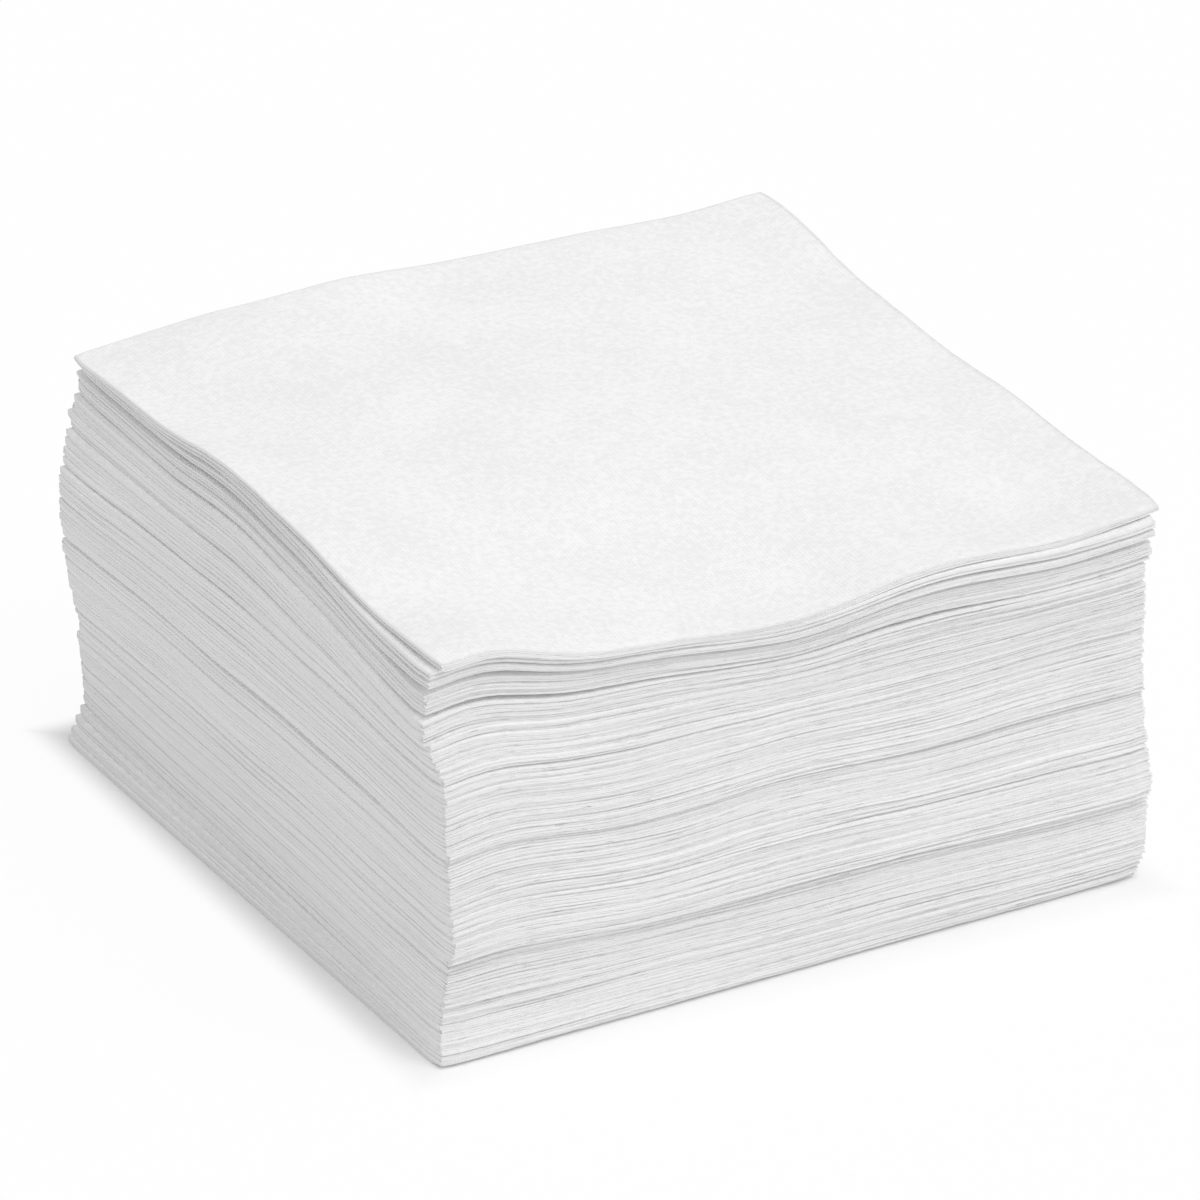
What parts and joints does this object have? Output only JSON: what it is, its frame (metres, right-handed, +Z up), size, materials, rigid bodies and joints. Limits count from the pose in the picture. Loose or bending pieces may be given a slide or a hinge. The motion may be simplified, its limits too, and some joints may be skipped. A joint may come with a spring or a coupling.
{
  "type": "stack of paper napkins",
  "caption": "Square stack of plain white quarter-folded paper napkins, with rounded folds along two sides and open cut edges along the others, sagging a little at the front.",
  "frame": {"origin": "middle of the face that the stack rests on, under the middle of the stack's own box", "axes": "+Z up through the stack; -X towards the side with two folds per napkin; +Y towards the side with the wrapped fold; -Y and +X towards the open cut edges"},
  "size_m": [0.1332, 0.1322, 0.0715],
  "materials": {
    "napkin_paper": "matte soft embossed tissue"
  },
  "bodies": {
    "root": {"napkin_01": "napkin_paper", "napkin_02": "napkin_paper", "napkin_03": "napkin_paper", "napkin_04": "napkin_paper", "napkin_05": "napkin_paper", "napkin_06": "napkin_paper", "napkin_07": "napkin_paper", "napkin_08": "napkin_paper", "napkin_09": "napkin_paper", "napkin_10": "napkin_paper", "napkin_11": "napkin_paper", "napkin_12": "napkin_paper", "napkin_13": "napkin_paper", "napkin_14": "napkin_paper", "napkin_15": "napkin_paper", "napkin_16": "napkin_paper", "napkin_17": "napkin_paper", "napkin_18": "napkin_paper", "napkin_19": "napkin_paper", "napkin_20": "napkin_paper", "napkin_21": "napkin_paper", "napkin_22": "napkin_paper", "napkin_23": "napkin_paper", "napkin_24": "napkin_paper", "napkin_25": "napkin_paper", "napkin_26": "napkin_paper", "napkin_27": "napkin_paper", "napkin_28": "napkin_paper", "napkin_29": "napkin_paper", "napkin_30": "napkin_paper", "napkin_31": "napkin_paper", "napkin_32": "napkin_paper", "napkin_33": "napkin_paper", "napkin_34": "napkin_paper", "napkin_35": "napkin_paper", "napkin_36": "napkin_paper", "napkin_37": "napkin_paper", "napkin_38": "napkin_paper", "napkin_39": "napkin_paper", "napkin_40": "napkin_paper", "napkin_41": "napkin_paper", "napkin_42": "napkin_paper", "napkin_43": "napkin_paper", "napkin_44": "napkin_paper", "napkin_45": "napkin_paper", "napkin_46": "napkin_paper", "napkin_47": "napkin_paper", "napkin_48": "napkin_paper", "napkin_49": "napkin_paper", "napkin_50": "napkin_paper"}
  },
  "joints": []
}
